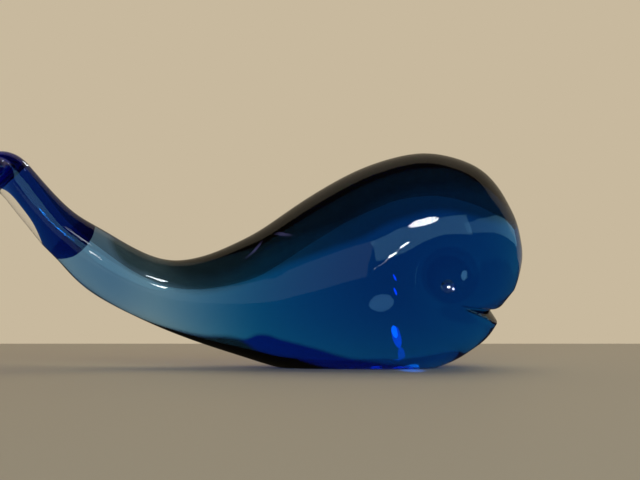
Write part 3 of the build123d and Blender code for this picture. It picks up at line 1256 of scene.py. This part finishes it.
def lamp(name, place, way, shape, seen_by, width, height, roll, power, tint, spread=180):
    """Adds a soft lamp that faces back along its way, seen only by the rays that are named."""
    bpy.ops.object.light_add(type="AREA", location=place)
    light = bpy.context.object
    light.name = name
    facing = way.to_track_quat("Z", "Y") @ Quaternion((0, 0, 1), math.radians(roll))
    light.rotation_euler = facing.to_euler()
    light.data.shape = shape
    light.data.size = width
    light.data.size_y = height
    light.data.energy = power
    light.data.color = tint
    light.data.spread = math.radians(spread)
    light.visible_camera = False
    light.visible_diffuse = "diffuse" in seen_by
    light.visible_glossy = "glossy" in seen_by
    light.visible_transmission = "transmission" in seen_by
    deselect_all()


def aimed_lamps(rows, shape, seen_by, unit=1):
    """Adds lamps that look at a point on the skin, with their power in this unit."""
    for name, row in rows.items():
        subject, azimuth, elevation, distance, width, height, roll, spread, power, tint = row
        way = direction(azimuth, elevation) * distance
        place = Vector(subject) + way
        lamp(name, place, way, shape, seen_by, width, height, roll, power * unit, tint, spread)


def glint_lamps():
    """Adds the lamps that are only seen through the glass."""
    for name, (place, azimuth, elevation, width, height, roll, power, tint) in GLINTS.items():
        back = direction(azimuth, elevation)
        seen_by = ("transmission",)
        lamp(name, place, back, "ELLIPSE", seen_by, width, height, roll, power * MILLIWATT, tint)


def blue_spot():
    """Adds the spot for the blue patch of light on the table."""
    bpy.ops.object.light_add(type="SPOT", location=SPOT_PLACE)
    spot = bpy.context.object
    spot.name = "blue_spot"
    spot.rotation_euler = (SPOT_AIM - SPOT_PLACE).to_track_quat("-Z", "Y").to_euler()
    spot.data.energy = SPOT_POWER
    spot.data.color = SPOT_TINT
    spot.data.spot_size = math.radians(SPOT_ANGLE)
    spot.data.spot_blend = 1.0
    spot.data.shadow_soft_size = 0
    deselect_all()


def light_room(colours):
    """Puts the backdrop behind the whale and in its glass, and dims it for the table."""
    room = Recipe(bpy.data.worlds.new("room"), "ShaderNodeOutputWorld")
    path = room.node("ShaderNodeLightPath")
    camera_ray, glossy_ray, through_ray = room.wires(
        path, "Is Camera Ray", "Is Glossy Ray", "Is Transmission Ray")
    seen = camera_ray.most(through_ray)
    unseen = ROOM_LIGHT - (ROOM_LIGHT - MIRRORED_ROOM_LIGHT) * glossy_ray
    background = room.node(
        "ShaderNodeBackground", Color=opaque(colours.wall), Strength=seen + (1 - seen) * unseen)
    room.set(room.output, "Surface", background.outputs[0])
    return room.owner


def lay_table(colours):
    """Lays the table top just under the whale. The glass doesn't mirror it."""
    deselect_all()
    bpy.ops.mesh.primitive_cube_add(size=1, location=TABLE_MIDDLE, scale=TABLE_SIZE)
    table = bpy.context.object
    table.name = "table_top"
    bpy.ops.object.transform_apply(location=True, rotation=True, scale=True)
    edge = table.modifiers.new("edge", "BEVEL")
    edge.width = TABLE_EDGE
    edge.segments = 3
    bpy.ops.object.modifier_apply(modifier=edge.name)
    table.data.materials.append(table_finish(colours))
    table.visible_glossy = False


def set_camera():
    """Sets the camera, level, before the whale's right side."""
    bpy.ops.object.camera_add(location=CAMERA_PLACE, rotation=(math.pi / 2, 0, 0))
    camera = bpy.context.object
    camera.name = "camera"
    camera.data.lens = CAMERA_LENS
    camera.data.sensor_width = CAMERA_SENSOR
    camera.data.clip_start = 0.01
    deselect_all()
    return camera


class GLASSWHALE_OT_stage(bpy.types.Operator):
    """Set up the pale table, the lamps, the backdrop and the camera"""

    bl_idname = "glasswhale.stage"
    bl_label = "Stage"

    def execute(self, context):
        colours = context.scene.glasswhale_colours
        lay_table(colours)
        aimed_lamps(WINDOWS, "RECTANGLE", ("diffuse", "glossy"))
        aimed_lamps(NEAR_LAMPS, "ELLIPSE", ("glossy",), MILLIWATT)
        glint_lamps()
        aimed_lamps(FILL_LAMPS, "RECTANGLE", ("diffuse",))
        context.scene.world = light_room(colours)
        context.scene.camera = set_camera()
        blue_spot()
        context.scene.view_settings.view_transform = "Standard"
        return {"FINISHED"}


class GLASSWHALE_PT_panel(bpy.types.Panel):
    """The whale's steps, in the 3D view's sidebar."""

    bl_idname = "GLASSWHALE_PT_panel"
    bl_label = "Glass Whale"
    bl_space_type = "VIEW_3D"
    bl_region_type = "UI"
    bl_category = "Glass Whale"

    def draw(self, context):
        for name in GROUPS:
            group = getattr(context.scene, name)
            column = self.layout.column(align=True)
            for size in group.__annotations__:
                column.prop(group, size)
        for step in STEPS:
            self.layout.operator(step.bl_idname)


STEPS = (
    GLASSWHALE_OT_clear_gather,
    GLASSWHALE_OT_blue_core,
    GLASSWHALE_OT_cobalt_tail,
    GLASSWHALE_OT_beads,
    GLASSWHALE_OT_stage,
)
GROUPS = {
    "glasswhale_body": GLASSWHALE_PG_body,
    "glasswhale_tail": GLASSWHALE_PG_tail,
    "glasswhale_face": GLASSWHALE_PG_face,
    "glasswhale_colours": GLASSWHALE_PG_colours,
}


def register():
    """Makes the sizes, colours, steps and panel known to Blender."""
    for name, group in GROUPS.items():
        bpy.utils.register_class(group)
        setattr(bpy.types.Scene, name, bpy.props.PointerProperty(type=group))
    for step in STEPS:
        bpy.utils.register_class(step)
    bpy.utils.register_class(GLASSWHALE_PT_panel)


def unregister():
    """Takes them away again."""
    bpy.utils.unregister_class(GLASSWHALE_PT_panel)
    for step in reversed(STEPS):
        bpy.utils.unregister_class(step)
    for name, group in GROUPS.items():
        delattr(bpy.types.Scene, name)
        bpy.utils.unregister_class(group)


def main():
    """Makes every piece in turn."""
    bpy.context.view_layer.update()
    register()
    bpy.ops.glasswhale.clear_gather()
    bpy.ops.glasswhale.blue_core()
    bpy.ops.glasswhale.cobalt_tail()
    bpy.ops.glasswhale.beads()
    bpy.ops.glasswhale.stage()


if __name__ == "__main__":
    main()
